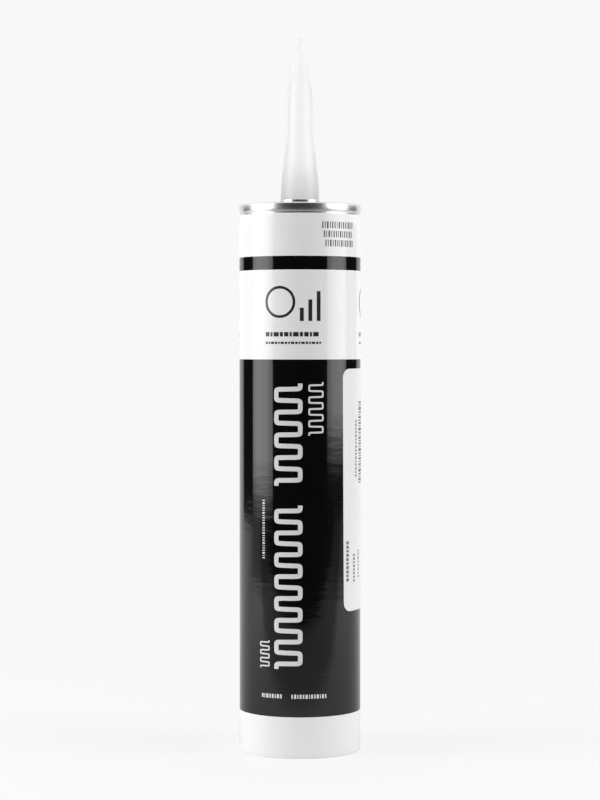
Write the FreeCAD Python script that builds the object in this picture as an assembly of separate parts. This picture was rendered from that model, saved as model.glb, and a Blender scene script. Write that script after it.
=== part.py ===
import FreeCAD, Part
import math
import os

# A sealant cartridge: a wound paperboard tube, closed by a seamed metal end that carries a
# crimped moulded nozzle, and filled from below up to a plunger that slides in the bore.
# Millimetres. +Z runs from the open end up to the nozzle's tip, and the origin is the centre
# of the open end's cut edge. A name that ends in _R is a radius, and one in _Z is a height.

# Driving dimensions of the paperboard tube
TUBE_DIAMETER = 50.8
TUBE_WALL = 1.2
CARTRIDGE_LENGTH = 228.0
NECK_IN_DEPTH = 0.4
NECK_IN_LENGTH = 3.0
NECK_IN_BLEND = 18.0

# Driving dimensions of the printed zones, from the open end upwards and from the rim downwards
FOOT_ZONE = 17.1
TOP_ZONE = 17.5
BAND_WIDTH = 5.6
EMBLEM_ZONE = 36.7
PRINT_DEPTH = 0.1

# Driving dimensions of the data sticker, whose left edge is an angle from -Y towards +X
STICKER_WIDTH = 50.8
STICKER_HEIGHT = 100.3
STICKER_BASE = 59.7
STICKER_LEFT_ANGLE = 44.4
STICKER_TILT = 0.4
STICKER_CORNER = 3.9
STICKER_THICKNESS = 0.12
ADHESIVE_FILM = 0.01

# Driving dimensions of the seamed metal end
SHEET = 0.28
RIM_HEIGHT = 4.5
RIM_PROUD = 0.05
LIP_HEIGHT = 1.05
COUNTERSINK_DEPTH = 4.4
PANEL_DIAMETER = 38.0
PANEL_RISE = 2.0
PANEL_SLOPE_RUN = 1.0
NECK_DIAMETER = 16.7
NECK_HEIGHT = 4.6
NECK_BEND = 1.6
NECK_LIP = 0.6

# Driving dimensions of the moulded nozzle, heights above the top of the metal neck
NOZZLE_WALL = 1.1
FLANGE_DIAMETER = 23.0
FLANGE_THICKNESS = 1.35
FLANGE_FILLET = 1.4
SHOULDER_DIAMETER = 15.5
SHOULDER_HEIGHT = 7.2
SHANK_BASE_DIAMETER = 11.0
SHANK_BASE_HEIGHT = 26.3
SHANK_TOP_DIAMETER = 10.3
SHANK_TOP_HEIGHT = 44.6
TIP_DIAMETER = 3.3
TIP_HEIGHT = 67.2
TIP_EDGE = 0.5
TIP_SKIN = 1.5

# Driving dimensions of the foil seal and the sealant
SEAL_DIAMETER = 21.0
SEAL_THICKNESS = 0.15

# Driving dimensions of the plunger
PLUNGER_RECESS = 45.0
PLUNGER_HEIGHT = 16.0
PLUNGER_WALL = 1.1
PLUNGER_CROWN = 1.5
LIP_BAND = 1.4
LIP_TAPER = 1.6
WAIST_DEPTH = 0.75
RIB_COUNT = 8
RIB_THICKNESS = 1.0
RIB_HEIGHT = 8.0
HUB_DIAMETER = 10.0
HUB_WALL = 1.2

# Outlines: a bend that turns further than this gets a middle point, and offsets keep corners sharp
STEEP_TURN = math.radians(60)
SHARP_JOIN = 2
SAME_POINT = 1e-6

# Clearances
SEAM_FIT = 0.02
BORE_FIT = 0.05
PAPER_EDGE_GAP = 0.2
NECK_FIT = 0.02
FILL_FILM = 0.05
LIP_FIT = 0.08
END_GAP = 0.2

# Radii and heights that follow from the driving dimensions
TUBE_R = TUBE_DIAMETER / 2
BORE_R = TUBE_R - TUBE_WALL
NECK_IN_R = TUBE_R - NECK_IN_DEPTH
RIM_R = TUBE_R + RIM_PROUD
RIM_BASE_Z = CARTRIDGE_LENGTH - RIM_HEIGHT
CHANNEL_R = RIM_R - SHEET - SEAM_FIT
COUNTERSINK_R = BORE_R - BORE_FIT - SHEET
COUNTERSINK_Z = CARTRIDGE_LENGTH - COUNTERSINK_DEPTH
PANEL_R = PANEL_DIAMETER / 2
PANEL_Z = COUNTERSINK_Z + PANEL_RISE
NECK_R = NECK_DIAMETER / 2
NECK_Z = PANEL_Z + NECK_HEIGHT
FLANGE_TOP_Z = PANEL_Z - SHEET
FLANGE_BASE_Z = FLANGE_TOP_Z - FLANGE_THICKNESS
SEAL_BASE_Z = FLANGE_BASE_Z - SEAL_THICKNESS
PLUNGER_TOP_Z = PLUNGER_RECESS + PLUNGER_HEIGHT
TRAVEL = COUNTERSINK_Z - SHEET - END_GAP - PLUNGER_TOP_Z


def bend_points(before, corner, after, bend):
    """Points of a bend of the given radius: its two ends, and its middle where it turns steeply."""
    back = (before - corner).normalize()
    ahead = (after - corner).normalize()
    half_angle = back.getAngle(ahead) / 2
    cut = bend / math.tan(half_angle)
    points = [corner + back * cut, corner + ahead * cut]
    if math.pi - 2 * half_angle > STEEP_TURN:
        points.insert(1, corner + (back + ahead).normalize() * (bend / math.sin(half_angle) - bend))
    return points


def route(corners):
    """Points of an outline in the XZ plane; each corner is a radius, a height and a bend radius."""
    places = [FreeCAD.Vector(r, 0, z) for r, z, bend in corners]
    points = [places[0]]
    for index in range(1, len(corners) - 1):
        bend = corners[index][2]
        turn = [places[index]]
        if bend > 0:
            turn = bend_points(places[index - 1], places[index], places[index + 1], bend)
        points += [point for point in turn if (point - points[-1]).Length > SAME_POINT]
    return points + [places[-1]]


def profile(corners):
    """A flat face in the XZ plane; its outline starts and ends at a sharp first corner."""
    return Part.Face(Part.makePolygon(route(corners + [corners[0]])))


def block_profile(inner_r, outer_r, base_z, top_z):
    """A rectangular face in the XZ plane."""
    return profile([(inner_r, base_z, 0), (outer_r, base_z, 0), (outer_r, top_z, 0), (inner_r, top_z, 0)])


def turned(face):
    """The solid that a profile in the XZ plane sweeps about the Z axis."""
    return face.revolve(FreeCAD.Vector(0, 0, 0), FreeCAD.Vector(0, 0, 1), 360)


def print_zones():
    """Base and top heights of the two printed dark zones: the large field and the narrow band."""
    band_top = RIM_BASE_Z - TOP_ZONE
    band_base = band_top - BAND_WIDTH
    field_top = band_base - EMBLEM_ZONE
    return {"label_field": (FOOT_ZONE, field_top), "label_band": (band_base, band_top)}


def end_path():
    """Outer side of the metal end: skirt lip, rim, countersink, raised panel, neck, turned-in lip."""
    rim_bend = (RIM_R - COUNTERSINK_R) / 2
    return Part.makePolygon(route([
        (NECK_IN_R, RIM_BASE_Z, 0),
        (RIM_R, RIM_BASE_Z + LIP_HEIGHT, 0),
        (RIM_R, CARTRIDGE_LENGTH, rim_bend),
        (COUNTERSINK_R, CARTRIDGE_LENGTH, rim_bend),
        (COUNTERSINK_R, COUNTERSINK_Z, 0),
        (PANEL_R + PANEL_SLOPE_RUN, COUNTERSINK_Z, 0),
        (PANEL_R, PANEL_Z, 0),
        (NECK_R, PANEL_Z, NECK_BEND),
        (NECK_R, NECK_Z, 0),
        (NECK_R - NECK_LIP, NECK_Z, 0),
    ]))


def sheet_profile(thickness):
    """The metal end's section: its outer side, thickened towards the inside of the cartridge."""
    return end_path().makeOffset2D(thickness, SHARP_JOIN, True, True, False)


def metal_end():
    """The end is one pressed sheet of even thickness, rolled over the tube's upper edge."""
    return turned(sheet_profile(SHEET))


def paper_tube():
    """Tube wall with print recesses, necked in below the rim and gripped by the skirt's lip."""
    wall = profile([
        (BORE_R, 0, 0),
        (TUBE_R, 0, 0),
        (TUBE_R, RIM_BASE_Z - NECK_IN_LENGTH, NECK_IN_BLEND),
        (NECK_IN_R, RIM_BASE_Z, 0),
        (CHANNEL_R, RIM_BASE_Z + LIP_HEIGHT, 0),
        (CHANNEL_R, CARTRIDGE_LENGTH - SHEET - PAPER_EDGE_GAP, 0),
        (BORE_R, CARTRIDGE_LENGTH - SHEET - PAPER_EDGE_GAP, 0),
    ])
    wall = wall.cut(sheet_profile(SHEET + SEAM_FIT))
    for base_z, top_z in print_zones().values():
        wall = wall.cut(block_profile(TUBE_R - PRINT_DEPTH, TUBE_R + PRINT_DEPTH, base_z, top_z))
    return turned(wall.Faces[0])


def printed_ring(base_z, top_z):
    """A printed dark zone lies flush in its recess, so the barrel keeps one outer radius."""
    return turned(block_profile(TUBE_R - PRINT_DEPTH, TUBE_R, base_z, top_z))


def rounded_rectangle(middle, width, height, corner):
    """A flat rectangle in the XZ plane with round corners."""
    plane = Part.makePlane(width, height, middle - FreeCAD.Vector(width / 2, 0, height / 2),
                           FreeCAD.Vector(0, -1, 0), FreeCAD.Vector(1, 0, 0))
    box = plane.extrude(FreeCAD.Vector(0, 1, 0))
    upright = [edge for edge in box.Edges if abs(edge.tangentAt(edge.FirstParameter).y) > 0.5]
    rounded = box.makeFillet(corner, upright)
    return min(rounded.Faces, key=lambda face: face.CenterOfMass.y)


def rolled_point(point, radius, seam_angle):
    """Place of a flat point on a cylinder: X becomes an angle and Z stays a height."""
    return FreeCAD.Base.Vector2d(seam_angle + point.x / radius, point.z)


def rolled_edge(edge, cylinder, seam_angle):
    """A straight or round edge in the XZ plane, laid on a cylinder, where an arc is part of an ellipse."""
    radius = cylinder.Radius
    if edge.Curve.TypeId == "Part::GeomLine":
        start = rolled_point(edge.valueAt(edge.FirstParameter), radius, seam_angle)
        end = rolled_point(edge.valueAt(edge.LastParameter), radius, seam_angle)
        return Part.Geom2d.Line2dSegment(start, end).toShape(cylinder)
    arc_centre = edge.Curve.Center
    bend = edge.Curve.Radius
    top = rolled_point(arc_centre + FreeCAD.Vector(0, 0, bend), radius, seam_angle)
    side = rolled_point(arc_centre - FreeCAD.Vector(bend, 0, 0), radius, seam_angle)
    ellipse = Part.Geom2d.Ellipse2d(top, side, rolled_point(arc_centre, radius, seam_angle))
    angles = []
    for parameter in edge.ParameterRange:
        spoke = edge.valueAt(parameter) - arc_centre
        angles.append(math.atan2(spoke.z, spoke.x) - math.pi / 2)
    if edge.Curve.Axis.y > 0:
        angles.reverse()
    if angles[1] <= angles[0]:
        angles[1] += 2 * math.pi
    return Part.Geom2d.ArcOfEllipse2d(ellipse, angles[0], angles[1]).toShape(cylinder)


def rolled_sheet(flat, radius, thickness, middle_angle):
    """A flat sheet in the XZ plane, rolled onto the barrel at degrees from -Y towards +X."""
    cylinder = Part.Cylinder()
    cylinder.Radius = radius
    outline = [rolled_edge(edge, cylinder, math.pi) for edge in flat.OuterWire.OrderedEdges]
    skin = Part.Face(cylinder, Part.Wire(outline))
    sheet = skin.makeOffsetShape(thickness, 1e-4, fill=True)
    sheet.rotate(FreeCAD.Vector(0, 0, 0), FreeCAD.Vector(0, 0, 1), 90 + middle_angle)
    return sheet


def data_sticker():
    """A rectangular paper sticker with round corners, applied over the dark field a little askew."""
    radius = TUBE_R + ADHESIVE_FILM
    half_width = STICKER_WIDTH / 2
    top_z = STICKER_BASE + STICKER_HEIGHT
    middle = FreeCAD.Vector(0, 0, (STICKER_BASE + top_z) / 2)
    flat = rounded_rectangle(middle, STICKER_WIDTH, STICKER_HEIGHT, STICKER_CORNER)
    flat.rotate(middle, FreeCAD.Vector(0, 1, 0), STICKER_TILT)
    middle_angle = STICKER_LEFT_ANGLE + math.degrees(half_width / radius)
    return rolled_sheet(flat, radius, STICKER_THICKNESS, middle_angle)


def nozzle():
    """A hollow moulding with a closed tip: flange, crimp groove, shoulder, cone, shank and tip cone."""
    barrel_r = NECK_R - SHEET - NECK_FIT
    groove_r = NECK_R - NECK_LIP - NECK_FIT
    groove_base_z = NECK_Z - SHEET - NECK_FIT
    groove_top_z = NECK_Z + NECK_FIT
    stations = [
        (barrel_r, groove_top_z, 0),
        (SHOULDER_DIAMETER / 2, NECK_Z + SHOULDER_HEIGHT, 0),
        (SHANK_BASE_DIAMETER / 2, NECK_Z + SHANK_BASE_HEIGHT, 0),
        (SHANK_TOP_DIAMETER / 2, NECK_Z + SHANK_TOP_HEIGHT, 0),
        (TIP_DIAMETER / 2, NECK_Z + TIP_HEIGHT, TIP_EDGE),
    ]
    tip_z = NECK_Z + TIP_HEIGHT
    tip_slope = (SHANK_TOP_DIAMETER - TIP_DIAMETER) / 2 / (TIP_HEIGHT - SHANK_TOP_HEIGHT)
    bore_end_r = TIP_DIAMETER / 2 + tip_slope * TIP_SKIN - NOZZLE_WALL
    bore = [(r - NOZZLE_WALL, z, 0) for r, z, bend in reversed(stations[:-1])]
    flange_r = FLANGE_DIAMETER / 2
    outline = [
        (barrel_r - NOZZLE_WALL, FLANGE_BASE_Z, 0),
        (flange_r, FLANGE_BASE_Z, 0),
        (flange_r, FLANGE_TOP_Z, 0),
        (barrel_r, FLANGE_TOP_Z, FLANGE_FILLET),
        (barrel_r, groove_base_z, 0),
        (groove_r, groove_base_z, 0),
        (groove_r, groove_top_z, 0),
    ]
    closed_tip = [(0, tip_z, 0), (0, tip_z - TIP_SKIN, 0), (bore_end_r, tip_z - TIP_SKIN, 0)]
    return turned(profile(outline + stations + closed_tip + bore))


def seal_membrane():
    """A foil disc, welded to the flange's underside across the nozzle's bore."""
    return turned(block_profile(0, SEAL_DIAMETER / 2, SEAL_BASE_Z, FLANGE_BASE_Z))


def sealant():
    """The fill takes the shape of the space between the plunger and the metal end."""
    fill_r = BORE_R - FILL_FILM
    under_sheet = SHEET + FILL_FILM
    flange_side_r = FLANGE_DIAMETER / 2 + FILL_FILM
    return turned(profile([
        (0, PLUNGER_TOP_Z + FILL_FILM, 0),
        (fill_r, PLUNGER_TOP_Z + FILL_FILM, 0),
        (fill_r, COUNTERSINK_Z - under_sheet, 0),
        (PANEL_R + PANEL_SLOPE_RUN - under_sheet, COUNTERSINK_Z - under_sheet, 0),
        (PANEL_R - under_sheet, PANEL_Z - under_sheet, 0),
        (flange_side_r, PANEL_Z - under_sheet, 0),
        (flange_side_r, SEAL_BASE_Z - FILL_FILM, 0),
        (0, SEAL_BASE_Z - FILL_FILM, 0),
    ]))


def plunger_cup():
    """A thin cup, closed towards the sealant, with a wiper lip at each end and a slim waist."""
    lip_r = BORE_R - LIP_FIT
    waist_r = lip_r - WAIST_DEPTH
    inner_r = waist_r - PLUNGER_WALL
    lower_lip_top = PLUNGER_RECESS + LIP_BAND
    upper_lip_base = PLUNGER_TOP_Z - LIP_BAND
    crown_base_z = PLUNGER_TOP_Z - PLUNGER_CROWN
    return turned(profile([
        (0, PLUNGER_TOP_Z, 0),
        (0, crown_base_z, 0),
        (inner_r, crown_base_z, 0),
        (inner_r, PLUNGER_RECESS, 0),
        (lip_r, PLUNGER_RECESS, 0),
        (lip_r, lower_lip_top, 0),
        (waist_r, lower_lip_top + LIP_TAPER, 0),
        (waist_r, upper_lip_base - LIP_TAPER, 0),
        (lip_r, upper_lip_base, 0),
        (lip_r, PLUNGER_TOP_Z, 0),
    ]))


def plunger():
    """The cup with a hub ring and radial ribs under its crown, where the push rod's disc bears."""
    crown_base_z = PLUNGER_TOP_Z - PLUNGER_CROWN
    rib_base_z = crown_base_z - RIB_HEIGHT
    rib_end_r = BORE_R - LIP_FIT - WAIST_DEPTH - PLUNGER_WALL / 2
    hub_r = HUB_DIAMETER / 2
    hub_bore_r = hub_r - HUB_WALL
    stiffeners = [turned(block_profile(hub_bore_r, hub_r, rib_base_z, crown_base_z + PLUNGER_CROWN / 2))]
    for index in range(RIB_COUNT):
        rib = Part.makeBox(rib_end_r - hub_r + HUB_WALL / 2, RIB_THICKNESS, RIB_HEIGHT + PLUNGER_CROWN / 2)
        rib.translate(FreeCAD.Vector(hub_r - HUB_WALL / 2, -RIB_THICKNESS / 2, rib_base_z))
        rib.rotate(FreeCAD.Vector(0, 0, 0), FreeCAD.Vector(0, 0, 1), 360 * (index + 0.5) / RIB_COUNT)
        stiffeners.append(rib)
    return plunger_cup().multiFuse(stiffeners).removeSplitter().Solids[0]


def main():
    """Build each piece, write it to its own file and print the sizes that follow."""
    shapes = {
        "paper_tube": paper_tube(),
        "data_sticker": data_sticker(),
        "metal_end": metal_end(),
        "nozzle": nozzle(),
        "seal_membrane": seal_membrane(),
        "sealant": sealant(),
        "plunger": plunger(),
    }
    for name, (base_z, top_z) in print_zones().items():
        shapes[name] = printed_ring(base_z, top_z)
    os.makedirs("parts", exist_ok=True)
    for name, shape in shapes.items():
        shape.exportStep("parts/" + name + ".step")
        print(name, shape.ShapeType, "solids", len(shape.Solids), "valid", shape.isValid(),
              "volume", round(shape.Volume, 2))
    print("fill in mL", round(shapes["sealant"].Volume / 1000, 1))
    print("plunger travel", round(TRAVEL, 3), "plunger top", PLUNGER_TOP_Z)
    print("overall height", round(NECK_Z + TIP_HEIGHT, 2))


main()
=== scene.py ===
# %% [markdown]
# # A sealant cartridge, dressed from its CAD frame
#
# The cartridge is a wound paperboard tube with a gloss printed wrap, and it stands on its open end.
# A pressed tinplate end is rolled over the top edge and grips a moulded nozzle. The CAD model gives
# the places and outer sizes of its nine nodes. This script adds smooth skins, the print, the sticker
# and the finishes, and then a table, two softboxes and a camera.

import itertools
import math

import bmesh
import bpy
import numpy as np
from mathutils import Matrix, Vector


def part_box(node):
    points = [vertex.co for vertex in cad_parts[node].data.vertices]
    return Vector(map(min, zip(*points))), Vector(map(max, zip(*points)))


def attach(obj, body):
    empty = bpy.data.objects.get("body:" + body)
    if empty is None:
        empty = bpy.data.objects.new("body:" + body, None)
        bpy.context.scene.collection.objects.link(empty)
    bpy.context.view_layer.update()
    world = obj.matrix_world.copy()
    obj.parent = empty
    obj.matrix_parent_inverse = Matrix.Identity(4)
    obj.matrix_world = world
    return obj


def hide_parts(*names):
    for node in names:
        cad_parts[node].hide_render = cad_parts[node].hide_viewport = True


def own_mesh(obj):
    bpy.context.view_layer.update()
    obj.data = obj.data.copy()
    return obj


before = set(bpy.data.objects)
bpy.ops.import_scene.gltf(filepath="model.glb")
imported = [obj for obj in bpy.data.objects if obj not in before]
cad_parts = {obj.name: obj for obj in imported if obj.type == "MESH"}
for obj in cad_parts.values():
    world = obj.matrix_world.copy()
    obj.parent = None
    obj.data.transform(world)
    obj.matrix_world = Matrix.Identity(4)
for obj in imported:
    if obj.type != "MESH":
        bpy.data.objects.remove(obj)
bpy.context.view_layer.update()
MM = 0.001
print("nodes:", ", ".join(sorted(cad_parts)))

# %% [markdown]
# ## Sizes
#
# Each CAD node says where it is through its box. The radii and the heights come from there, so that
# a change of the CAD model moves the skins too. What a box can't tell, such as a sheet's thickness or
# the steps of the nozzle, is named in this script, with the CAD model's value.

# %% Measure the frame
def measured(node):
    """A node's largest X, which is its radius where it is round, and its lowest and highest Z."""
    low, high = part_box(node)
    return high[0], low[2], high[2]


TUBE_R, _, WALL_TOP = measured("paper_tube")
_, FIELD_LOW, FIELD_HIGH = measured("label_field")
_, BAND_LOW, BAND_HIGH = measured("label_band")
_, STICKER_LOW, STICKER_HIGH = measured("data_sticker")
RIM_R, _, NECK_TOP = measured("metal_end")
FLANGE_R, FLANGE_LOW, TIP_TOP = measured("nozzle")
SEAL_R, SEAL_LOW, SEAL_HIGH = measured("seal_membrane")
FILL_R, FILL_LOW, FILL_HIGH = measured("sealant")
CUP_R, CUP_LOW, CUP_HIGH = measured("plunger")
RIM_OVER_FILL = 2.73 * MM
RIM_TOP = FILL_HIGH + RIM_OVER_FILL
WALL = 1.2 * MM
BORE_R = TUBE_R - WALL
SHEET = 0.28 * MM
print("tube radius %.2f mm, rim top %.2f mm, tip %.2f mm" % (TUBE_R / MM, RIM_TOP / MM, TIP_TOP / MM))

# %% [markdown]
# ## Turned shapes
#
# Tube, end, nozzle and plunger are all round, so one surface makes them: an outline of radius and
# height is carried round the axis. A modifier such as Screw could do it, but a grid worked out at
# once keeps the count of faces in hand and closes its seam and poles. Corners of the outline are
# rounded first, as press tools and moulds round them.

# %% Outlines with rounded corners
NEARLY_STRAIGHT = 1e-3


def rounded(stations, steps=6):
    """A polyline of (radius, height, bend) stations in mm, as points in metres. At a corner with a
    bend, the two sides are cut back by bend / tan(opening / 2), where the opening is the angle between
    them, and joined by an arc of that radius: centre + bend x (cos t, sin t)."""
    corners = np.array([station[:2] for station in stations], float)
    bends = [station[2] for station in stations[1:-1]]
    points = [corners[0]]
    for before, here, after, bend in zip(corners, corners[1:], corners[2:], bends):
        back = (before - here) / np.linalg.norm(before - here)
        ahead = (after - here) / np.linalg.norm(after - here)
        opening = math.acos(float(np.clip(back @ ahead, -1, 1)))
        if bend == 0 or math.pi - opening < NEARLY_STRAIGHT:
            points.append(here)
            continue
        cut = bend / math.tan(opening / 2)
        start, stop = here + back * cut, here + ahead * cut
        middle = (back + ahead) / np.linalg.norm(back + ahead)
        centre = here + middle * bend / math.sin(opening / 2)
        first = math.atan2(*(start - centre)[::-1])
        turn = (math.atan2(*(stop - centre)[::-1]) - first + math.pi) % (2 * math.pi) - math.pi
        angles = first + turn * np.linspace(0, 1, steps + 1)
        points.extend(centre + bend * np.column_stack((np.cos(angles), np.sin(angles))))
    points.append(corners[-1])
    return np.array(points) * MM


# %% A mesh from points and faces
MERGE = 1e-7


def placed(name, data):
    """An object for a mesh, a lamp or a camera, put into the scene."""
    made = bpy.data.objects.new(name, data)
    bpy.context.scene.collection.objects.link(made)
    return made


def solid(name, points, faces, crease=35):
    """A mesh object at the origin. Doubled points are merged and faces are turned outwards. Edges
    sharper than crease stay sharp, and the rest is shaded smooth."""
    mesh = bpy.data.meshes.new(name)
    mesh.from_pydata(points.tolist(), [], faces.tolist())
    work = bmesh.new()
    work.from_mesh(mesh)
    bmesh.ops.remove_doubles(work, verts=work.verts, dist=MERGE)
    bmesh.ops.dissolve_degenerate(work, edges=work.edges, dist=MERGE)
    if work.calc_volume(signed=True) < 0:
        bmesh.ops.reverse_faces(work, faces=work.faces)
    work.to_mesh(mesh)
    work.free()
    mesh.shade_smooth()
    mesh.set_sharp_from_angle(angle=math.radians(crease))
    print("%-18s %7d faces" % (name, len(mesh.polygons)))
    return placed(name, mesh)


def quads(rows, columns, wrap_rows=True, wrap_columns=True):
    """Quads between the neighbours of a grid of points that is stored row by row. Where a direction
    wraps, its last points join its first ones."""
    row, column = np.meshgrid(np.arange(rows - 1 + wrap_rows), np.arange(columns - 1 + wrap_columns),
                              indexing="ij")
    after, beside = (row + 1) % rows, (column + 1) % columns
    return np.stack((row * columns + column, row * columns + beside,
                     after * columns + beside, after * columns + column), axis=-1).reshape(-1, 4)


# %% The turned surface
def turned_grid(outline, steps=256):
    """Points (r cos a, r sin a, z) for every outline point and every angle a. The outline is closed,
    and so is the circle, so the quads wrap in both directions."""
    angles = np.linspace(0, 2 * math.pi, steps, endpoint=False)
    radius, height = outline[:, 0][:, None], outline[:, 1][:, None]
    points = np.stack((radius * np.cos(angles), radius * np.sin(angles), height + 0 * angles), axis=-1)
    return points.reshape(-1, 3), quads(len(outline), steps)


def turned(name, outline, steps=256, crease=35):
    """A closed outline turned round the axis. Where it touches the axis, its points merge to a pole."""
    return solid(name, *turned_grid(outline, steps), crease=crease)


# %% [markdown]
# ## The wrap and the board under it
#
# The real wall is brown board, wound in plies, with a white printed wrap on the outside and foil on
# the inside. The wrap is modelled as a thin shell, the board as the thick one behind it, and the
# liner as a film, so that the cut edge at the open end shows all three. The black zones of the print
# are rings of their own, which lie in shallow grooves of the wrap.

# %% Wrap, board, liner and dark zones
WRAP = 0.16 * MM
LINER, LINER_LOW = 0.05 * MM, 0.15 * MM
EDGE_SOFT = 0.12 * MM
PRINT_PROUD = 0.002 * MM
NECK_IN, NECK_START, NECK_END = 0.4 * MM, RIM_TOP - 8.2 * MM, RIM_TOP - 4.5 * MM


def shell(inner, outer, low, high, soften=0.0):
    """Outline of a ring: two radii and two heights. A small slope can soften its lower outer edge."""
    edge = [(outer - soften, low), (outer, low + soften)] if soften else [(outer, low)]
    return np.array([(inner, low), *edge, (outer, high), (inner, high)])


def split(outline, longest):
    """The same closed outline, with long sides cut into parts no longer than that, so that a bend can
    follow."""
    parts = []
    for start, stop in zip(outline, np.roll(outline, -1, axis=0)):
        count = max(1, math.ceil(np.linalg.norm(stop - start) / longest))
        parts.append(start + (stop - start) * np.linspace(0, 1, count, endpoint=False)[:, None])
    return np.concatenate(parts)


def necked(outline):
    """The tube is pressed in a little under the rim. From the neck's start to its end, a radius in the
    wall's outer half loses a share of NECK_IN that grows as 3 x^2 - 2 x^3."""
    radius, height = outline.T
    share = np.clip((height - NECK_START) / (NECK_END - NECK_START), 0, 1)
    pressed = NECK_IN * share * share * (3 - 2 * share) * (radius > TUBE_R - 0.5 * WALL)
    return np.column_stack((radius - pressed, height))


wrap_back, groove = TUBE_R - WRAP, TUBE_R - WRAP / 2
grooves = []
for low, high in ((FIELD_LOW, FIELD_HIGH), (BAND_LOW, BAND_HIGH)):
    grooves += [(TUBE_R, low), (groove, low), (groove, high), (TUBE_R, high)]
wrap_outline = np.array([
    (wrap_back, EDGE_SOFT / 2), (TUBE_R - EDGE_SOFT / 2, 0), (TUBE_R, EDGE_SOFT), *grooves,
    (TUBE_R, WALL_TOP), (wrap_back, WALL_TOP)])
board_outline = shell(BORE_R + LINER, wrap_back, 0, WALL_TOP, EDGE_SOFT)
liner_outline = shell(BORE_R, BORE_R + LINER, LINER_LOW, WALL_TOP)
wrap = turned("printed_wrap", necked(split(wrap_outline, 2 * MM)))
board = turned("wound_board", necked(split(board_outline, 2 * MM)))
liner = turned("foil_liner", split(liner_outline, 20 * MM))
field = turned("dark_field", split(shell(groove, TUBE_R + PRINT_PROUD, FIELD_LOW, FIELD_HIGH), 4 * MM))
band = turned("dark_band", split(shell(groove, TUBE_R + PRINT_PROUD, BAND_LOW, BAND_HIGH), 4 * MM))

# %% [markdown]
# ## The metal end
#
# One disc of tinplate is pressed to a countersink, a raised panel and a neck, and its edge is rolled
# outwards over the tube. Its outline is therefore one path with the sheet's thickness on one side.
# The path's corners are rounded, and the second side is the path moved along its normals.

# %% A sheet that follows a path
def thickened(path, thickness):
    """Closed outline of a sheet: the path, and then the path moved by thickness along its left normal,
    backwards. The normal at a point is the mean of those of its two sides, made longer by
    1 / cos(half the turn), but at most twice as long, so that the sheet stays even."""
    side = np.diff(path, axis=0)
    normal = np.column_stack((-side[:, 1], side[:, 0])) / np.linalg.norm(side, axis=1)[:, None]
    mean = np.vstack((normal[:1], normal[:-1] + normal[1:], normal[-1:]))
    mean /= np.linalg.norm(mean, axis=1)[:, None]
    cosine = np.einsum("ij,ij->i", mean, np.vstack((normal, normal[-1:])))
    lengthen = 1 / np.maximum(cosine, 0.5)
    return np.vstack((path, (path + mean * lengthen[:, None] * thickness)[::-1]))


# %% The end's path, in mm
FIT = 0.05
LIP_IN, LIP_LOW, LIP_HIGH, SKIRT_LOW = 0.4, 4.4, 3.9, 2.8
COUNTERSINK_DEEP, PANEL_FOOT_R, PANEL_R = 4.4, 20, 19
NECK_R, NECK_LIP = 8.35, 0.6
RIM_SHARE = 0.999
rim_r, rim_top, neck_top = RIM_R / MM, RIM_TOP / MM, NECK_TOP / MM
countersink_r = BORE_R / MM - FIT - SHEET / MM
countersink = rim_top - COUNTERSINK_DEEP
panel_top = (FILL_HIGH + SHEET) / MM + FIT
rim_bend = (rim_r - countersink_r) / 2 * RIM_SHARE
end_path = rounded([
    (rim_r - LIP_IN, rim_top - LIP_LOW, 0), (rim_r - LIP_IN, rim_top - LIP_HIGH, 0.2),
    (rim_r, rim_top - SKIRT_LOW, 6), (rim_r, rim_top, rim_bend), (countersink_r, rim_top, rim_bend),
    (countersink_r, countersink, 0.8), (PANEL_FOOT_R, countersink, 0.7), (PANEL_R, panel_top, 0.7),
    (NECK_R, panel_top, 1.6), (NECK_R, neck_top, 0.35), (NECK_R - NECK_LIP, neck_top, 0)], steps=10)
end = turned("metal_end_skin", thickened(end_path, SHEET), crease=50)

# %% [markdown]
# ## The nozzle
#
# The nozzle is moulded around a core: a flange inside the can, a groove for the metal's lip, a
# shoulder, a cone, a long shank and a closed tip. The outer outline runs from the flange to the tip.
# The bore follows it inside, and a skin closes the tip, to be cut off by the user.

# %% The nozzle's outline, in mm
FLANGE_GAP, FLANGE_NECK_R = 0.3, 9.95
PLUG_R, PLUG_UP = 8.05, 1.9
GROOVE_R, GROOVE_LOW, GROOVE_HIGH = 7.73, 0.3, 0.02
COLLAR_R = 8.07
SHOULDER_R, SHOULDER_UP, SHOULDER_BLEND = 7.75, 7.2, 14
SHANK_FOOT_R, SHANK_FOOT_UP, SHANK_FOOT_BLEND = 5.5, 26.3, 24
SHANK_TOP_R, SHANK_TOP_UP, SHANK_TOP_BLEND = 5.15, 44.6, 16
TIP_R, TIP_SKIN = 1.65, 1.5
BORE_FOOT_R, BORE_SHANK_R, BORE_TOP_R, BORE_TIP_R = 6.65, 4.4, 4.1, 0.78
flange_r, flange_low, tip = FLANGE_R / MM, FLANGE_LOW / MM, TIP_TOP / MM
shoulder, shank_foot, shank_top = (neck_top + up for up in (SHOULDER_UP, SHANK_FOOT_UP, SHANK_TOP_UP))
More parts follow.
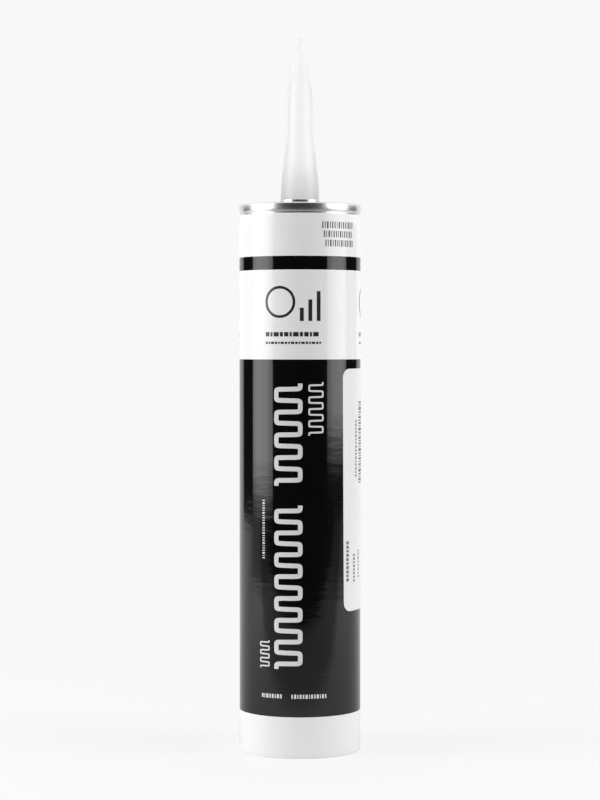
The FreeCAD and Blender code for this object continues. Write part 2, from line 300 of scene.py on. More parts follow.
nozzle_outside = rounded([
    (BORE_FOOT_R, flange_low, 0), (flange_r, flange_low, 0.25), (flange_r, panel_top - FLANGE_GAP, 0.2),
    (FLANGE_NECK_R, panel_top - FLANGE_GAP, 1.2), (PLUG_R, panel_top + PLUG_UP, 0.4),
    (PLUG_R, neck_top - GROOVE_LOW, 0), (GROOVE_R, neck_top - GROOVE_LOW, 0),
    (GROOVE_R, neck_top + GROOVE_HIGH, 0), (COLLAR_R, neck_top + GROOVE_HIGH, 0.12),
    (SHOULDER_R, shoulder, SHOULDER_BLEND), (SHANK_FOOT_R, shank_foot, SHANK_FOOT_BLEND),
    (SHANK_TOP_R, shank_top, SHANK_TOP_BLEND), (TIP_R, tip, 0.5), (0, tip, 0)])
nozzle_bore = rounded([
    (0, tip - TIP_SKIN, 0), (BORE_TIP_R, tip - TIP_SKIN, 0.3), (BORE_TOP_R, shank_top, SHANK_TOP_BLEND),
    (BORE_SHANK_R, shank_foot, SHANK_FOOT_BLEND), (BORE_FOOT_R, shoulder, SHOULDER_BLEND),
    (BORE_FOOT_R, flange_low, 0)])
nozzle = turned("nozzle_skin", split(np.vstack((nozzle_outside, nozzle_bore[:-1])), 3 * MM))
seal = turned("foil_seal", shell(0, SEAL_R, SEAL_LOW, SEAL_HIGH))

# %% [markdown]
# ## The fill and the plunger
#
# The fill has the shape of the room that holds it, and it gets shorter as the plunger rises. The
# plunger is a cup with two wiper lips and a waist, and a
# hub ring and ribs stiffen it inside.

# %% The fill, in mm
FILL_UNDER, FILL_SIDE_TOP, FILL_BEVEL = 0.35, 1.2, 1.3
FILL_PANEL_R, FLANGE_ROOM_R = 18.8, 11.55
fill_r, fill_low, fill_high = FILL_R / MM, FILL_LOW / MM, FILL_HIGH / MM
fill_side, fill_room = countersink - FILL_UNDER, SEAL_LOW / MM - FIT
fill = turned("sealant_fill", rounded([
    (0, fill_low, 0), (fill_r, fill_low, 0), (fill_r, countersink - FILL_SIDE_TOP, 0),
    (fill_r - FILL_BEVEL, fill_side, 0.3), (PANEL_FOOT_R, fill_side, 0), (FILL_PANEL_R, fill_high, 0),
    (FLANGE_ROOM_R, fill_high, 0), (FLANGE_ROOM_R, fill_room, 0), (0, fill_room, 0)]), steps=128)

# %% The plunger's cup, hub and ribs, in mm
LIP, TAPER, WAIST, CUP_WALL, CROWN = 1.4, 1.6, 0.75, 1.1, 1.5
HUB_IN_R, HUB_OUT_R, HUB_STRAIGHT, HUB_SOFT = 3.8, 5.0, 4, 0.25
RIBS, RIB_HIGH, RIB_THICK, RIB_IN_R, RIB_SUNK = 8, 8.0, 1.0, 4.4, 1.0
cup_r, cup_low, cup_top = CUP_R / MM, CUP_LOW / MM, CUP_HIGH / MM
waist_r, rib_low = cup_r - WAIST, cup_top - CROWN - RIB_HIGH
cup = turned_grid(rounded([
    (0, cup_top, 0), (cup_r, cup_top, 0.35), (cup_r, cup_top - LIP, 0.3),
    (waist_r, cup_top - LIP - TAPER, 0.6), (waist_r, cup_low + LIP + TAPER, 0.6),
    (cup_r, cup_low + LIP, 0.3), (cup_r, cup_low, 0.3), (waist_r - CUP_WALL, cup_low, 0.25),
    (waist_r - CUP_WALL, cup_top - CROWN, 0.5), (0, cup_top - CROWN, 0)]))
hub = turned_grid(rounded([
    (HUB_IN_R, rib_low + HUB_STRAIGHT, 0), (HUB_IN_R, rib_low, HUB_SOFT), (HUB_OUT_R, rib_low, HUB_SOFT),
    (HUB_OUT_R, cup_top - RIB_SUNK, 0), (HUB_IN_R, cup_top - RIB_SUNK, 0)]), steps=96)


def boxes(low, high, turns):
    """One box per angle, from its two far corners in mm. Its eight corners are turned about the axis,
    to (x cos a - y sin a, x sin a + y cos a)."""
    corner = np.array([(i, j, k) for i in (0, 1) for j in (0, 1) for k in (0, 1)])
    x, y, z = (np.array(low) + corner * (np.array(high) - np.array(low))).T * MM
    c, s = np.cos(turns)[:, None], np.sin(turns)[:, None]
    points = np.stack((x * c - y * s, x * s + y * c, z + 0 * c), axis=-1)
    sides = np.array([(0, 1, 3, 2), (4, 6, 7, 5), (0, 4, 5, 1), (2, 3, 7, 6), (0, 2, 6, 4), (1, 5, 7, 3)])
    faces = sides + 8 * np.arange(len(turns))[:, None, None]
    return points.reshape(-1, 3), faces.reshape(-1, 4)


def joined(*parts):
    """Several (points, faces) pairs as one: a part's face numbers go up by the points before it."""
    starts = np.cumsum([0] + [len(points) for points, _ in parts[:-1]])
    faces = np.vstack([faces + start for (_, faces), start in zip(parts, starts)])
    return np.vstack([points for points, _ in parts]), faces


ribbing = boxes((RIB_IN_R, -RIB_THICK / 2, rib_low),
                (waist_r - CUP_WALL / 2, RIB_THICK / 2, cup_top - RIB_SUNK),
                (np.arange(RIBS) + 0.5) * 2 * math.pi / RIBS)
plunger = solid("plunger_skin", *joined(cup, hub, ribbing), crease=40)

# %% [markdown]
# ## Marks of the print
#
# The print's marks follow the wall, so each is a flat stroke first: a path along the wall, given as
# a length round the tube and a height, with a width. Rolling turns the length into an angle. A
# stroke is a thin bar with a closed skin, a fiftieth of a millimetre proud, as heavy print is. The
# shapes are plain ones: beads, dashes, rings and bars.

# %% Strokes rolled onto the wall
PROUD, SUNK = 0.02 * MM, 0.01 * MM


def rolled(flat, height, radius):
    """Flat places onto the wall: (r sin(s / R), -r cos(s / R), z), where s is the length round the
    tube from its front."""
    angle = flat / TUBE_R
    return np.stack((radius * np.sin(angle), -radius * np.cos(angle), height), axis=-1)


def stroke(path, width, closed=False, base=TUBE_R):
    """A bar along a flat path in mm. Its four corner lines are the path moved by half the width to the
    left and right, at two radii, so that its section is a thin rectangle. Its ends are capped by
    quads, or the bar joins itself."""
    path = np.asarray(path, float) * MM
    ahead = np.roll(path, -1, axis=0) - np.roll(path, 1, axis=0) if closed else np.gradient(path, axis=0)
    left = np.column_stack((-ahead[:, 1], ahead[:, 0])) / np.linalg.norm(ahead, axis=1)[:, None]
    left *= width * MM / 2
    lines = ((path + left, base - SUNK), (path + left, base + PROUD),
             (path - left, base + PROUD), (path - left, base - SUNK))
    points = np.stack([rolled(*line.T, radius) for line, radius in lines], axis=1)
    faces = quads(len(path), 4, wrap_rows=closed)[:, [0, 3, 2, 1]]
    if not closed:
        last = 4 * (len(path) - 1)
        faces = np.vstack((faces, [(0, 1, 2, 3), (last + 3, last + 2, last + 1, last)]))
    return points.reshape(-1, 3), faces


# %% Paths for the strokes
DASH_STEP = 0.8


def at(degrees):
    """Length in mm round the tube at an angle from the front, towards the viewer's right."""
    return math.radians(degrees) * TUBE_R / MM


def meander(left, right, top, low, legs, points=40):
    """A bead laid to and fro down the wall. It crosses over at each half turn of t:
    s = middle + half x tanh(3 sin t) / tanh(3). It goes down mostly between the crossings:
    z = top - drop x (t - 0.42 sin 2t), so the legs lie nearly level."""
    t = math.pi * (0.5 + np.linspace(0, legs, legs * points))
    swing = np.tanh(3 * np.sin(t)) / math.tanh(3)
    fall = t - 0.42 * np.sin(2 * t)
    fall = (fall - fall[0]) / (fall[-1] - fall[0])
    return np.column_stack(((left + right) / 2 + (right - left) / 2 * swing, top - (top - low) * fall))


def dashes(start, stop, beside, lengths, gap, thick, along="round", base=TUBE_R):
    """Short strokes with gaps from start to stop, of these lengths in turn. The row runs round the
    tube at a height, or up it at a length round the tube."""
    made, place = [], start
    for length in itertools.cycle(lengths):
        if place + length > stop:
            return made
        reach = np.linspace(place, place + length, max(2, math.ceil(length / DASH_STEP) + 1))
        line = np.full_like(reach, beside)
        path = np.column_stack((reach, line) if along == "round" else (line, reach))
        made.append(stroke(path, thick, base=base))
        place = place + length + gap


def ring(middle, height, radius, thick):
    """A closed circle: (s + r cos t, z + r sin t)."""
    t = np.linspace(0, 2 * math.pi, 64, endpoint=False)
    circle = np.column_stack((middle + radius * np.cos(t), height + radius * np.sin(t)))
    return stroke(circle, thick, closed=True)


# %% [markdown]
# The dark field carries a laid bead in pale ink: a long zigzag in two groups, where the photograph
# has the title, with thinner ones beside it and rows of fine dashes. Four columns of dashes fill its
# back. The white zone above it carries a ring emblem with bars and dashes, three times round the
# tube. Rows of small bars stand under the rim, where the photograph has a printed code.

# %% The pale marks on the dark field
# A bead's left, right, top and low end in mm, its number of legs and its width. Then the columns of
# dashes at the back: their middles and half width in degrees, their count of rows, top and step.
BEADS = (
    (at(-24.7) + 1, at(2.5) - 1, 153.9, 112.0, 9, 1.9),
    (at(-24.7) + 1, at(2.5) - 1, 104.0, 36.8, 15, 1.9),
    (at(8.5), at(21.5), 154.4, 132.6, 9, 0.75),
    (at(-39.5), at(-30), 48.4, 37.0, 7, 0.6),
)
BACK_COLUMNS, BACK_HALF, BACK_LINES, BACK_TOP, BACK_STEP = (112, 147, -112, -147), 13, 9, 140, 4.4
pale = [stroke(meander(*place), width) for *place, width in BEADS]
pale += dashes(82, 107, at(-36), [0.5, 0.3, 0.7, 0.4], 0.55, 1.2, along="up")
pale += dashes(at(-38), at(-15), 25.6, [0.8, 0.45, 1.0, 0.6], 0.5, 1.7)
pale += dashes(at(-8), at(27), 25.6, [0.6, 0.9, 0.4, 0.8], 0.5, 1.7)
for back, line in itertools.product(BACK_COLUMNS, range(BACK_LINES)):
    pale += dashes(at(back - BACK_HALF), at(back + BACK_HALF), BACK_TOP - BACK_STEP * line,
                   [1.9, 1.1, 2.6, 0.8, 1.5], 0.6, 0.55)
pale_marks = solid("pale_marks", *joined(*pale))

# %% The dark marks on the white zones
# An emblem's ring has a height, a radius and a thickness, and each bar has a place and a top, in mm.
EMBLEM_TURNS, EMBLEM_MIDDLE, EMBLEM_HALF = (-106, 0, 109), -6, 12.2
EMBLEM_RING, EMBLEM_BARS = (187.2, 6.0, 1.1), ((3.4, 184.8), (6.9, 188.2), (10.4, 191.6))
EMBLEM_BAR_LOW, EMBLEM_BAR_WIDE, EMBLEM_RING_LEFT = 179.4, 1.6, 5.8
CODE_HEIGHTS, CODE_SHIFT = (218.7, 215.0, 211.3), 0.7
dark = []
for turn in EMBLEM_TURNS:
    middle = at(EMBLEM_MIDDLE + turn)
    dark.append(ring(middle - EMBLEM_RING_LEFT, *EMBLEM_RING))
    for right, high in EMBLEM_BARS:
        dark.append(stroke([(middle + right, EMBLEM_BAR_LOW), (middle + right, high)], EMBLEM_BAR_WIDE))
    left, right = middle - EMBLEM_HALF, middle + EMBLEM_HALF
    dark += dashes(left, right, 174.0, [1.8, 0.9, 2.3, 1.3], 0.5, 1.8)
    dark += dashes(left, right, 170.5, [1.0, 0.7, 1.4], 0.4, 0.95)
for line, height in enumerate(CODE_HEIGHTS):
    dark += dashes(at(21) + CODE_SHIFT * line, at(59), height, [0.5, 0.35, 0.75, 0.4, 0.6], 0.62, 2.7)
dark_marks = solid("dark_marks", *joined(*dark))
print(len(pale), "pale strokes and", len(dark), "dark ones")

# %% [markdown]
# ## The data sticker
#
# The sticker is a thin rectangle with round corners, rolled on the wall like the strokes. Its outline
# is squeezed from a full grid: each row of the grid runs from the left edge to the right edge at that
# height, so rows near the ends are shorter by what the corner's circle takes away.

# %% The sticker
# Its turn adds TILT_ADDS mm to half the height of its box, so the sheet is that much lower.
STICKER_LEFT, STICKER_WIDE, STICKER_CORNER = at(44.4), 50.8, 3.9
STICKER_FACE, STICKER_BACK = TUBE_R + 0.105 * MM, TUBE_R + 0.005 * MM
TILT, TILT_ADDS = math.radians(0.4), 0.18


def sticker_sheet(columns=96, rows=160):
    """Outer and inner face over (s, z) in mm. z runs from low to high, finer in the corners, and s from
    left to right, cut back by corner - sqrt(corner^2 - depth^2), where the depth is how far z has come
    into the corner. Both are turned by TILT, and the two faces are joined along their border."""
    half_wide, half_high = STICKER_WIDE / 2, (STICKER_HIGH - STICKER_LOW) / MM / 2 - TILT_ADDS
    v = -half_high * np.cos(np.linspace(0, math.pi, rows))
    depth = np.clip(np.abs(v) - (half_high - STICKER_CORNER), 0, STICKER_CORNER)
    reach = half_wide - STICKER_CORNER + np.sqrt(np.maximum(STICKER_CORNER ** 2 - depth ** 2, 0))
    s = np.linspace(-1, 1, columns)[None, :] * reach[:, None]
    z = v[:, None] + 0 * s
    turned_s = STICKER_LEFT + half_wide + s * math.cos(TILT) - z * math.sin(TILT)
    turned_z = (STICKER_LOW + STICKER_HIGH) / MM / 2 + z * math.cos(TILT) + s * math.sin(TILT)
    points = np.stack([rolled(turned_s * MM, turned_z * MM, r) for r in (STICKER_FACE, STICKER_BACK)])
    count = rows * columns
    grid = np.arange(count).reshape(rows, columns)
    border = np.concatenate((grid[0], grid[1:, -1], grid[-1, -2::-1], grid[-2:0:-1, 0]))
    following = np.roll(border, -1)
    edge = np.stack((border, border + count, following + count, following), axis=-1)
    outer = quads(rows, columns, wrap_rows=False, wrap_columns=False)
    return points.reshape(-1, 3), np.vstack((outer, outer[:, ::-1] + count, edge))


sticker = solid("data_sticker_skin", *sticker_sheet(), crease=60)

# %% The sticker's bars and lines
BAR_LOW, BAR_HIGH, BAR_GAP = 112.5, 146.5, 0.55
BAR_WIDTHS = [0.5, 0.9, 0.35, 0.6, 1.2, 0.4, 0.8]
# A line's place in degrees, its low and high end, its thickness and its dashes' lengths.
STICKER_LINES = (
    (65.5, 115.0, 139.5, 1.2, [1.0, 0.8, 1.2]),
    (50.3, 72.0, 90.0, 1.6, [1.3, 1.0, 1.3]),
    (61.3, 71.5, 83.0, 1.3, [1.1, 0.9]),
    (71.5, 73.0, 86.0, 1.1, [1.0, 0.8, 1.3]),
    (112, 72.0, 148.0, 1.2, [1.6, 0.9, 2.2]),
    (120, 72.0, 131.0, 1.2, [1.1, 1.8, 0.9]),
)
bars = []
bar_reach = np.linspace(at(72.5), at(95), 12)
bar_place = BAR_LOW
for thick, next_thick in itertools.pairwise(itertools.cycle(BAR_WIDTHS)):
    if bar_place >= BAR_HIGH:
        break
    bar_path = np.column_stack((bar_reach, np.full_like(bar_reach, bar_place)))
    bars.append(stroke(bar_path, thick, base=STICKER_FACE))
    bar_place = bar_place + thick / 2 + BAR_GAP + next_thick / 2
for degrees, low, high, thick, lengths in STICKER_LINES:
    bars += dashes(low, high, at(degrees), lengths, 0.5, thick, along="up", base=STICKER_FACE)
sticker_marks = solid("sticker_marks", *joined(*bars))

# %% [markdown]
# ## Finishes
#
# Gloss print is a coloured, matt ground under a clear, smooth top. The Principled shader has both: a
# base colour, and a reflection of about four in a hundred, or a little less. What tells paperboard
# from plastic is that the wound plies print through as fine streaks round the tube, so that the edge
# of a reflection looks ragged. That relief is one node group, which the printed finishes share and
# the brown board has a little stronger. The wrap's overlap is in it too, as a low ridge up the back.

# %% Helpers for node trees
def new_material(name):
    """A material and its node tree."""
    material = bpy.data.materials.new(name)
    material.use_nodes = True
    return material, material.node_tree


def coordinates(tree, kind="Object"):
    """A Texture Coordinate socket."""
    return tree.nodes.new("ShaderNodeTexCoord").outputs[kind]


def axes(tree, vector):
    """The X, Y and Z sockets of a vector."""
    node = tree.nodes.new("ShaderNodeSeparateXYZ")
    tree.links.new(vector, node.inputs[0])
    return node.outputs


def calculated(tree, operation, *values):
    """One Math node on sockets or numbers."""
    node = tree.nodes.new("ShaderNodeMath")
    node.operation = operation
    for value, socket in zip(values, node.inputs):
        if isinstance(value, (int, float)):
            socket.default_value = value
        else:
            tree.links.new(value, socket)
    return node.outputs[0]


def between(tree, value, low, high, start=0.0, stop=1.0):
    """Map Range: value from start to stop becomes low to high."""
    node = tree.nodes.new("ShaderNodeMapRange")
    for label, number in (("From Min", start), ("From Max", stop), ("To Min", low), ("To Max", high)):
        node.inputs[label].default_value = number
    tree.links.new(value, node.inputs["Value"])
    return node.outputs["Result"]


def blended(tree, share, first, second):
    """Mix Shader: the second shader takes the share, and the first one the rest."""
    node = tree.nodes.new("ShaderNodeMixShader")
    for value, socket in zip((share, first, second), node.inputs):
        tree.links.new(value, socket)
    return node.outputs["Shader"]


def noise(tree, vector, scale, detail=4.0, rough=0.55):
    """A Noise Texture whose coordinates are stretched by a Mapping node: three scales per metre give
    it a grain direction."""
    mapping = tree.nodes.new("ShaderNodeMapping")
    mapping.inputs["Scale"].default_value = scale
    texture = tree.nodes.new("ShaderNodeTexNoise")
    for label, number in (("Scale", 1.0), ("Detail", detail), ("Roughness", rough)):
        texture.inputs[label].default_value = number
    tree.links.new(vector, mapping.inputs["Vector"])
    tree.links.new(mapping.outputs["Vector"], texture.inputs["Vector"])
    return texture.outputs["Fac"]


def group(name, outputs):
    """An empty node group with a Vector input and these outputs: its tree, the input's socket and the
    sockets that its results go to."""
    tree = bpy.data.node_groups.new(name, "ShaderNodeTree")
    tree.interface.new_socket("Vector", in_out="INPUT", socket_type="NodeSocketVector")
    for label in outputs:
        tree.interface.new_socket(label, in_out="OUTPUT", socket_type="NodeSocketFloat")
    vector = tree.nodes.new("NodeGroupInput").outputs["Vector"]
    return tree, vector, tree.nodes.new("NodeGroupOutput").inputs


# %% The relief of the wound plies
SEAM_RELIEF, SEAM_HALF, BROAD_SHARE = 7.0, 0.35 * MM, 4.0
plies, place, result = group("wound plies", ["Relief", "Mottle"])
x, y, _ = axes(plies, place)
near_seam = between(plies, calculated(plies, "ABSOLUTE", x), SEAM_RELIEF, 0.0, 0.0, SEAM_HALF)
at_back = calculated(plies, "GREATER_THAN", y, 0.0)
fine = noise(plies, place, (120, 120, 560), detail=3.0)
broad = noise(plies, place, (30, 30, 90), detail=2.0)
streaks = calculated(plies, "MULTIPLY_ADD", broad, BROAD_SHARE, fine)
plies.links.new(calculated(plies, "MULTIPLY_ADD", near_seam, at_back, streaks), result["Relief"])
plies.links.new(noise(plies, place, (60, 60, 35), detail=5.0), result["Mottle"])

# %% Handling marks
handling, place, result = group("handling marks", ["Smudge", "Fine"])
handling.links.new(noise(handling, place, (70, 70, 55), detail=6.0), result["Smudge"])
handling.links.new(noise(handling, place, (900, 900, 700), detail=2.0), result["Fine"])

# %% One recipe for a finish
PATTERN_LOW, PATTERN_HIGH = 0.3, 0.7


def finish(name, dark, pale, rough, relief=0.0, effect=plies, constants=None):
    """A Principled material on Object coordinates. The effect's second output mixes the two colours
    and spreads the roughness between the two values of rough. Its first output is the Height of a
    Bump of that distance in metres."""
    material, tree = new_material(name)
    shader = tree.nodes["Principled BSDF"]
    for label, value in (constants or {}).items():
        shader.inputs[label].default_value = value
    pattern = tree.nodes.new("ShaderNodeGroup")
    pattern.node_tree = effect
    tree.links.new(coordinates(tree), pattern.inputs["Vector"])
    ramp = tree.nodes.new("ShaderNodeValToRGB")
    for stop, place, colour in zip(ramp.color_ramp.elements, (PATTERN_LOW, PATTERN_HIGH), (dark, pale)):
        stop.position = place
        stop.color = (*colour, 1)
    tree.links.new(pattern.outputs[1], ramp.inputs["Fac"])
    tree.links.new(ramp.outputs["Color"], shader.inputs["Base Color"])
    spread = between(tree, pattern.outputs[1], *rough, PATTERN_LOW, PATTERN_HIGH)
    tree.links.new(spread, shader.inputs["Roughness"])
    if relief:
        bump = tree.nodes.new("ShaderNodeBump")
        bump.inputs["Distance"].default_value = relief
        tree.links.new(pattern.outputs[0], bump.inputs["Height"])
        tree.links.new(bump.outputs["Normal"], shader.inputs["Normal"])
    return material


def grey(value):
    """The same share of red, green and blue."""
    return (value, value, value)


# %% The finishes
WRAP_RELIEF = 1.6e-5
METAL = {"Metallic": 1.0}
white_print = finish("white gloss print", grey(0.865), grey(0.88), (0.07, 0.10), WRAP_RELIEF,
                     constants={"Specular IOR Level": 0.35})
black_print = finish("black gloss print", grey(0.0024), grey(0.0030), (0.06, 0.09), WRAP_RELIEF)
pale_ink = finish("pale ink", grey(0.74), grey(0.78), (0.09, 0.12), WRAP_RELIEF)
dark_ink = finish("dark ink", grey(0.022), grey(0.030), (0.2, 0.3), WRAP_RELIEF)
brown_board = finish("brown board", (0.30, 0.19, 0.105), (0.40, 0.27, 0.16), (0.8, 0.9), 2e-5)
sticker_paper = finish("sticker paper", (0.80, 0.805, 0.81), grey(0.83), (0.34, 0.42), 1e-6, handling)
sticker_ink = finish("sticker ink", grey(0.12), grey(0.20), (0.5, 0.6), 0, handling)
foil = finish("bore foil", grey(0.72), grey(0.80), (0.25, 0.34), 4e-6, handling, METAL)
tinplate = finish("bright tinplate", (0.775, 0.77, 0.765), (0.80, 0.795, 0.79), (0.27, 0.31), 1e-6,
                  handling, METAL)
moulding = finish("natural moulding", (0.985, 0.985, 0.98), (0.995, 0.995, 0.99), (0.30, 0.36), 3e-6,
                  handling, {"Transmission Weight": 0.955, "IOR": 1.26})
cup_plastic = finish("plunger plastic", (0.76, 0.76, 0.74), (0.82, 0.82, 0.80), (0.34, 0.42), 3e-6,
                     handling)
paste = finish("sealant paste", (0.36, 0.075, 0.045), (0.44, 0.10, 0.06), (0.25, 0.4), 2e-5, handling)

# %% [markdown]
# The nozzle is moulded in a milky plastic and thin enough to let the background through, blurred.
# Glass with a rough surface does that: light bends at both sides of each wall, so the outline turns a
# little dark, as it does in the photograph. A glow in the material could imitate it, but would shine
# in the dark. The wall is thicker towards the neck, and metal and sealant are behind it there. Its
# colour is painted darker on the way down: a painted shade for the dark inside of the base.

# %% Painted shade towards the nozzle's neck
# Painted shade: the nozzle's base colour is scaled down towards the neck, and is full higher up.
PAINTED_SHADE_LOW, PAINTED_SHADE_HIGH, PAINTED_SHADE_UP = 0.84, 1.0, 17 * MM
tree = moulding.node_tree
base_color = tree.nodes["Principled BSDF"].inputs["Base Color"]
darker = tree.nodes.new("ShaderNodeVectorMath")
darker.operation = "SCALE"
tree.links.new(base_color.links[0].from_socket, darker.inputs[0])
height = axes(tree, coordinates(tree))["Z"]
painted_shade = between(tree, height, PAINTED_SHADE_LOW, PAINTED_SHADE_HIGH, NECK_TOP, NECK_TOP + PAINTED_SHADE_UP)
tree.links.new(painted_shade, darker.inputs["Scale"])
tree.links.new(darker.outputs["Vector"], base_color)

# %% [markdown]
# ## Hand the pieces over
#
# Each piece gets its finish and rides on the body that carries it, and the CAD node that it stands for
# is hidden.

# %% Pieces, bodies and slots
PIECES = [
    (wrap, white_print, "wrap", "cartridge", ["paper_tube"]),
    (board, brown_board, "wrap", "cartridge", []),
    (liner, foil, "foil", "cartridge", []),
    (field, black_print, "dark_print", "cartridge", ["label_field"]),
    (band, black_print, "dark_print", "cartridge", ["label_band"]),
    (pale_marks, pale_ink, "wrap", "cartridge", []),
    (dark_marks, dark_ink, "dark_print", "cartridge", []),
    (sticker, sticker_paper, "sticker", "cartridge", ["data_sticker"]),
    (sticker_marks, sticker_ink, "dark_print", "cartridge", []),
    (end, tinplate, "tinplate", "cartridge", ["metal_end"]),
    (nozzle, moulding, "nozzle", "cartridge", ["nozzle"]),
    (seal, foil, "foil", "cartridge", ["seal_membrane"]),
    (fill, paste, "sealant", "cartridge", ["sealant"]),
    (plunger, cup_plastic, "plunger", "plunger", ["plunger"]),
]
for piece, material, slot, body, nodes in PIECES:
    piece.data.materials.append(material)
    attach(piece, body)
    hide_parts(*nodes)

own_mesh(fill)
print(len(PIECES), "pieces")

# %% [markdown]
# ## Table, background and light
#
# The photograph is a plain pack shot: a white table, a white background and a tall softbox on each
# side. The gloss wrap shows the softboxes as two upright strips, and black between them, because the
# room in front is dark. So each softbox is an area lamp, and a dark card that only mirrors can see
# stands in front. The world is white to the eye, and lights the object more from behind than from
# the front. Far from the object the table turns into the background. Light through the nozzle sees
# the table as the camera does. The table is clear from below and under the tube, so that a view from
# below shows the open end with the plunger in it.

# %% World
WHITE = 0.94
AMBIENT_FRONT, AMBIENT_BACK = 0.30, 0.82
world = bpy.data.worlds.new("studio")
bpy.context.scene.world = world
world.use_nodes = True
sky = world.node_tree
background = sky.nodes["Background"]
background.inputs["Color"].default_value = (1, 1, 1, 1)
rays = sky.nodes.new("ShaderNodeLightPath").outputs
seen = calculated(sky, "MAXIMUM", rays["Is Camera Ray"], rays["Is Glossy Ray"])
seen = calculated(sky, "MAXIMUM", seen, rays["Is Transmission Ray"])
behind = axes(sky, coordinates(sky, "Generated"))["Y"]
shade = sky.nodes.new("ShaderNodeMix")
sky.links.new(seen, shade.inputs["Factor"])
sky.links.new(between(sky, behind, AMBIENT_FRONT, AMBIENT_BACK, -1, 1), shade.inputs["A"])
shade.inputs["B"].default_value = WHITE
sky.links.new(shade.outputs["Result"], background.inputs["Strength"])

# %% Table
TABLE_FRONT, TABLE_SIDE, TABLE_BACK = -0.45, 2.5, 4.0
TABLE_PALE, TABLE_ROUGH = 0.86, 0.9
FADE_START, FADE_END = 0.12, 0.40
NEAR_GLOW, NEAR_SHARE = 1.0, 0.72
MIRROR_START, MIRROR_END = 0.1, 0.35
# The table's front is painted darker for mirrors, lamps and bounced light, but not for the camera: a
# painted shade from FRONT_START to FRONT_END.
FRONT_PAINTED_SHADE, FRONT_START, FRONT_END = 0.40, -0.12, -0.20
HOLE_R = TUBE_R - 0.2 * MM


def stage_sheet(name, points, faces, material):
    """A mesh of plain faces that belongs to the stage, with its material."""
    mesh = bpy.data.meshes.new(name)
    mesh.from_pydata(points, [], faces)
    mesh.materials.append(material)
    return placed(name, mesh)


table_white, tree = new_material("white table")
matt = tree.nodes["Principled BSDF"]
matt.inputs["Roughness"].default_value = TABLE_ROUGH
matt.inputs["Specular IOR Level"].default_value = 0.0
glow = tree.nodes.new("ShaderNodeEmission")
place = coordinates(tree)
length = tree.nodes.new("ShaderNodeVectorMath")
length.operation = "LENGTH"
tree.links.new(place, length.inputs[0])
away, behind = length.outputs["Value"], axes(tree, place)["Y"]
rays = tree.nodes.new("ShaderNodeLightPath").outputs
direct = calculated(tree, "MAXIMUM", rays["Is Camera Ray"], rays["Is Transmission Ray"])
fading = between(tree, away, NEAR_SHARE, 1, FADE_START, FADE_END)
for_camera = calculated(tree, "MULTIPLY", direct, fading)
at_rear = between(tree, behind, 0, 1, MIRROR_START, MIRROR_END)
for_mirrors = calculated(tree, "MULTIPLY", rays["Is Glossy Ray"], at_rear)
# Painted shade on the table's front, seen in the wrap's reflection; camera and transmission rays see it
# pale.
free_of_painted_shade = calculated(tree, "MAXIMUM", direct, between(tree, behind, 0, 1, FRONT_END, FRONT_START))
tree.links.new(between(tree, free_of_painted_shade, FRONT_PAINTED_SHADE, TABLE_PALE), matt.inputs["Base Color"])
tree.links.new(between(tree, away, NEAR_GLOW, WHITE, FADE_START, FADE_END), glow.inputs["Strength"])
glowing = calculated(tree, "MAXIMUM", for_camera, for_mirrors)
lit = blended(tree, glowing, matt.outputs["BSDF"], glow.outputs["Emission"])
from_below = tree.nodes.new("ShaderNodeNewGeometry").outputs["Backfacing"]
open_here = calculated(tree, "MAXIMUM", from_below, calculated(tree, "LESS_THAN", away, HOLE_R))
clear = tree.nodes.new("ShaderNodeBsdfTransparent").outputs["BSDF"]
tree.links.new(blended(tree, open_here, lit, clear), tree.nodes["Material Output"].inputs["Surface"])
table_corners = [(-TABLE_SIDE, TABLE_FRONT, 0), (TABLE_SIDE, TABLE_FRONT, 0),
                 (TABLE_SIDE, TABLE_BACK, 0), (-TABLE_SIDE, TABLE_BACK, 0)]
table_top = stage_sheet("table", table_corners, [(0, 1, 2, 3)], table_white)

# %% Dark card in front
# The card curves round the object. Its top has these heights in metres at these turns in degrees.
CARD_REACH, CARD_LOW, CARD_STEPS, CARD_GLOW = 1.3, -0.8, 49, 0.02
CARD_TURNS, CARD_HEIGHTS = (0, 85, 100, 134), (1.8, 1.5, 0.36, 0.34)
dark_room, tree = new_material("dark room")
dim = tree.nodes.new("ShaderNodeEmission")
dim.inputs["Strength"].default_value = CARD_GLOW
tree.links.new(dim.outputs["Emission"], tree.nodes["Material Output"].inputs["Surface"])
turns = np.linspace(-1, 1, CARD_STEPS) * math.radians(CARD_TURNS[-1])
card_high = np.interp(np.abs(turns), np.radians(CARD_TURNS), CARD_HEIGHTS)
card_points = [(CARD_REACH * math.sin(turn), -CARD_REACH * math.cos(turn), height)
               for edge in (np.full(CARD_STEPS, CARD_LOW), card_high) for turn, height in zip(turns, edge)]
card_faces = quads(2, CARD_STEPS, wrap_rows=False, wrap_columns=False).tolist()
card = stage_sheet("dark_card", card_points, card_faces, dark_room)
for kind in ("camera", "diffuse", "transmission", "volume_scatter", "shadow"):
    setattr(card, "visible_" + kind, False)

# %% Softboxes
SOFTBOX_AWAY, SOFTBOX_HIGH = 0.70, 0.75
SIDE_LEVEL, SIDE_FADE, END_LEVEL, END_FADE = 0.55, 0.3, 0.0, 0.062
# A softbox's side, width, low edge, turn from the front in degrees, and strength.
SOFTBOXES = ((-1, 0.61, 0.042, 75.5, 4.1), (1, 0.57, 0.080, 74, 3.5))


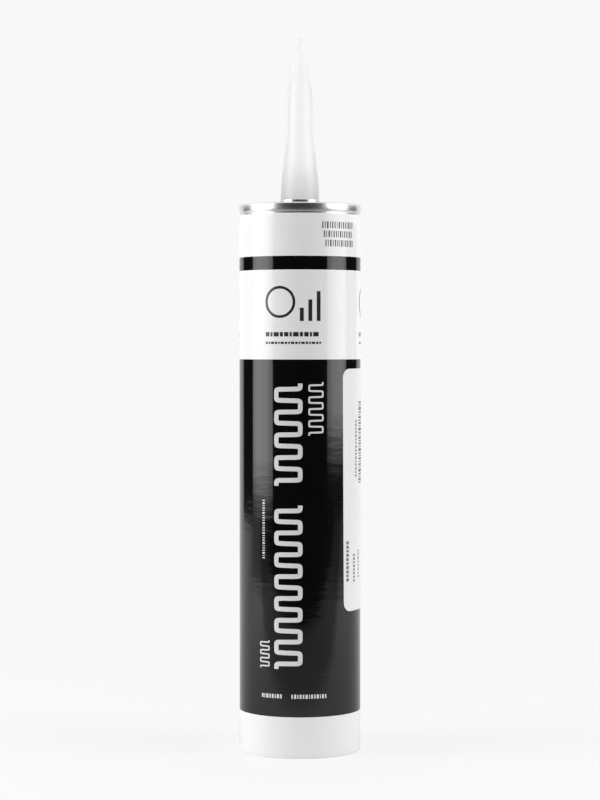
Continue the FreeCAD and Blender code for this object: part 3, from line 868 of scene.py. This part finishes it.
def soft_edge(tree, along, level, fade):
    """Brightness that rises from level at both edges to one, over that share of the side."""
    return between(tree, calculated(tree, "PINGPONG", along, 0.5), level, 1, 0, fade)


for side, wide, low, degrees, glare in SOFTBOXES:
    lamp = bpy.data.lights.new("softbox", "AREA")
    lamp.shape, lamp.size, lamp.size_y = "RECTANGLE", wide, SOFTBOX_HIGH - low
    lamp.energy = glare * math.pi * wide * (SOFTBOX_HIGH - low)
    lamp.use_nodes = True
    cloth = lamp.node_tree
    across, up, _ = axes(cloth, cloth.nodes.new("ShaderNodeNewGeometry").outputs["Parametric"])
    sides, ends = soft_edge(cloth, across, SIDE_LEVEL, SIDE_FADE), soft_edge(cloth, up, END_LEVEL, END_FADE)
    cloth.links.new(calculated(cloth, "MULTIPLY", sides, ends), cloth.nodes["Emission"].inputs["Strength"])
    turn = side * math.radians(degrees)
    softbox = placed("softbox", lamp)
    middle = (low + SOFTBOX_HIGH) / 2
    softbox.location = (SOFTBOX_AWAY * math.sin(turn), -SOFTBOX_AWAY * math.cos(turn), middle)
    softbox.rotation_euler = (math.pi / 2, 0, turn)
    softbox.visible_camera = False

# %% [markdown]
# ## Camera
#
# The photograph was taken from about a metre, a little above the middle of the cartridge and almost
# level. The focal length is given as the picture's own: 2276 pixels for a picture 800 pixels high, on
# a sensor 36 mm high.

# %% Camera
PICTURE_HIGH, FOCAL_PIXELS, SENSOR = 800, 2276, 36
CAMERA_PLACE, CAMERA_DOWN, CLIP_NEAR, CLIP_FAR = (0, -0.954, 0.1697), 1.39, 0.05, 20
lens = bpy.data.cameras.new("pack shot")
lens.sensor_fit, lens.sensor_height, lens.sensor_width = "VERTICAL", SENSOR, SENSOR
lens.lens = SENSOR * FOCAL_PIXELS / PICTURE_HIGH
lens.clip_start, lens.clip_end = CLIP_NEAR, CLIP_FAR
camera = placed("pack shot", lens)
camera.location = CAMERA_PLACE
camera.rotation_euler = (math.radians(90 - CAMERA_DOWN), 0, 0)
bpy.context.scene.camera = camera
bpy.context.scene.view_settings.view_transform = "Standard"
